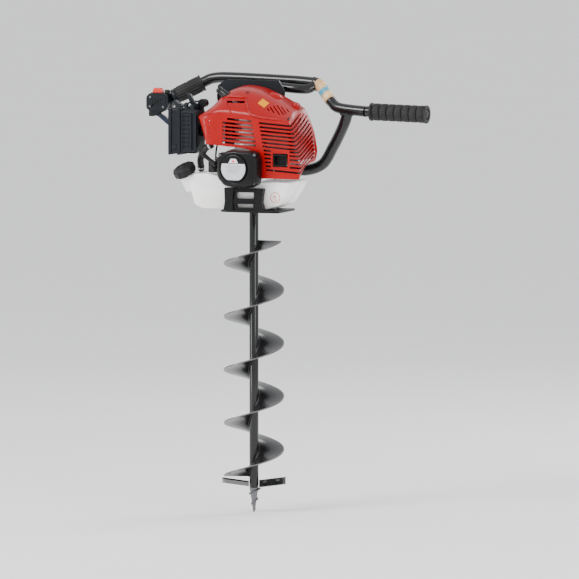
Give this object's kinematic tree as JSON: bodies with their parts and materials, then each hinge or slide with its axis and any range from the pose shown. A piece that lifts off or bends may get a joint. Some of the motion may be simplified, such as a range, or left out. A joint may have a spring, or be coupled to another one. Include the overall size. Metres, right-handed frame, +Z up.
{
  "type": "petrol auger",
  "caption": "Hand-held petrol auger: red-cowled two-stroke powerhead with recoil starter, white tank, wide black handle frame and a flighted drill bit with cutter blades and a pilot screw.",
  "frame": {"origin": "point of the pilot screw, on the bit's axis", "axes": "+Z up the bit's axis to the powerhead; +X along the handle bar towards the plain grip; -Y is the side the recoil starter faces"},
  "size_m": [0.7364, 0.2853, 1.0796],
  "materials": {
    "red_plastic": "glossy red moulded plastic",
    "black_plastic": "satin black moulded plastic",
    "blue_black_plastic": "satin blue-black moulded plastic",
    "tank_plastic": "milky white blow-moulded polyethylene",
    "grip_rubber": "matt black rubber",
    "black_paint": "gloss black powder coat on steel",
    "cast_aluminium": "as-cast aluminium",
    "steel": "machined steel",
    "flight_paint": "dark grey paint on steel",
    "foam": "open-cell filter foam",
    "porcelain": "glazed ceramic and plated steel",
    "rope_nylon": "braided nylon"
  },
  "bodies": {
    "root": {"piston": "cast_aluminium", "connecting_rod": "steel", "crankcase": "cast_aluminium", "cylinder": "cast_aluminium", "plug_boot": "black_plastic", "spark_plug": "porcelain", "fan_housing": "cast_aluminium", "clutch_housing": "cast_aluminium", "starter_housing": "black_plastic", "intake_insulator": "black_plastic", "carburettor": "cast_aluminium", "air_cleaner_base": "blue_black_plastic", "air_filter_element": "foam", "muffler": "steel", "exhaust_outlet": "black_plastic", "top_cover": "red_plastic", "fuel_tank": "tank_plastic", "tank_stand": "black_plastic", "vent_hose": "black_plastic", "primer_base": "black_plastic", "fuel_line": "black_plastic", "gearbox_housing": "cast_aluminium", "gearbox_lid": "cast_aluminium", "top_bar": "black_paint", "right_arm": "black_paint", "hip_bar": "black_paint", "lower_brace": "black_paint", "back_plate": "blue_black_plastic", "left_grip": "grip_rubber", "right_grip": "grip_rubber", "throttle_housing": "black_plastic", "throttle_cable": "black_plastic"},
    "auger": {"pilot_screw": "steel", "bit_shaft": "black_paint", "auger_flight": "flight_paint", "cutter_left": "steel", "cutter_right": "steel", "drive_coupling": "cast_aluminium", "coupling_pin": "steel", "output_shaft": "steel", "worm_wheel": "steel"},
    "worm_shaft": {"worm": "steel", "clutch_drum": "steel"},
    "engine_rotor": {"crank_rear": "steel", "crank_front": "steel", "flywheel_fan": "cast_aluminium", "clutch_shoe_1": "cast_aluminium", "clutch_shoe_2": "cast_aluminium"},
    "pulley": {"starter_pulley": "black_plastic"},
    "starter_pull": {"pull_handle": "black_plastic", "starter_rope": "rope_nylon"},
    "throttle": {"throttle_valve": "steel"},
    "trigger": {"throttle_trigger": "black_plastic"},
    "switch": {"stop_switch": "red_plastic"},
    "lock": {"trigger_lock": "black_plastic"},
    "choke": {"choke_lever": "blue_black_plastic"},
    "primer": {"primer_bulb": "grip_rubber"},
    "cap": {"fuel_cap": "black_plastic"},
    "cleaner_cover": {"filter_cover": "blue_black_plastic"},
    "clip": {"filter_clip": "blue_black_plastic"}
  },
  "joints": [
    {"name": "auger_spin", "type": "hinge", "parent": "root", "child": "auger", "pos_m": [0, 0, 0.4], "axis": [0, 0, -1], "continuous": true},
    {"name": "worm_spin", "type": "hinge", "parent": "root", "child": "worm_shaft", "pos_m": [0.0315, 0, 0.861], "axis": [0, 1, 0], "continuous": true},
    {"name": "rotor_spin", "type": "hinge", "parent": "root", "child": "engine_rotor", "pos_m": [0.0315, -0.11, 0.861], "axis": [0, 1, 0], "continuous": true},
    {"name": "starter_slide", "type": "slide", "parent": "root", "child": "starter_pull", "axis": [-1, 0, 0], "range_m": [0, 0.6]},
    {"name": "pulley_spin", "type": "hinge", "parent": "root", "child": "pulley", "pos_m": [0.0315, -0.1925, 0.861], "axis": [0, -1, 0], "range_deg": [0, 1720]},
    {"name": "trigger_squeeze", "type": "hinge", "parent": "root", "child": "trigger", "pos_m": [-0.258, -0.013, 0.976], "axis": [0, -1, 0], "range_deg": [0, 18], "stiffness_Nm_per_rad": 0.3, "springref_deg": -5.73},
    {"name": "throttle_turn", "type": "hinge", "parent": "root", "child": "throttle", "pos_m": [-0.044, -0.115, 0.945], "axis": [0, 0, 1], "range_deg": [0, 75.1]},
    {"name": "switch_slide", "type": "slide", "parent": "root", "child": "switch", "axis": [-1, 0, 0], "range_m": [0, 0.005]},
    {"name": "lock_press", "type": "slide", "parent": "root", "child": "lock", "axis": [0, 0, -1], "range_m": [0, 0.003], "stiffness_N_per_m": 300},
    {"name": "choke_turn", "type": "hinge", "parent": "root", "child": "choke", "pos_m": [-0.104, -0.12, 1.005], "axis": [0, 1, 0], "range_deg": [0, 60]},
    {"name": "primer_press", "type": "slide", "parent": "root", "child": "primer", "axis": [0, 1, 0], "range_m": [0, 0.004], "stiffness_N_per_m": 300},
    {"name": "cap_unscrew", "type": "hinge", "parent": "root", "child": "cap", "pos_m": [-0.122, -0.15, 0.849], "axis": [-0.3001, -0.4202, 0.8564], "range_deg": [0, 720]},
    {"name": "cover_off", "type": "slide", "parent": "root", "child": "cleaner_cover", "axis": [-1, 0, 0], "range_m": [0, 0.045]},
    {"name": "clip_lift", "type": "hinge", "parent": "root", "child": "clip", "pos_m": [-0.1365, -0.135, 1.006], "axis": [0, 1, 0], "range_deg": [0, 70]}
  ],
  "couplings": [
    {"joint": "worm_spin", "follows": "auger_spin", "ratio": 30},
    {"joint": "pulley_spin", "follows": "starter_slide", "rad_per_m": 50},
    {"joint": "throttle_turn", "follows": "trigger_squeeze", "ratio": 4.1667}
  ]
}
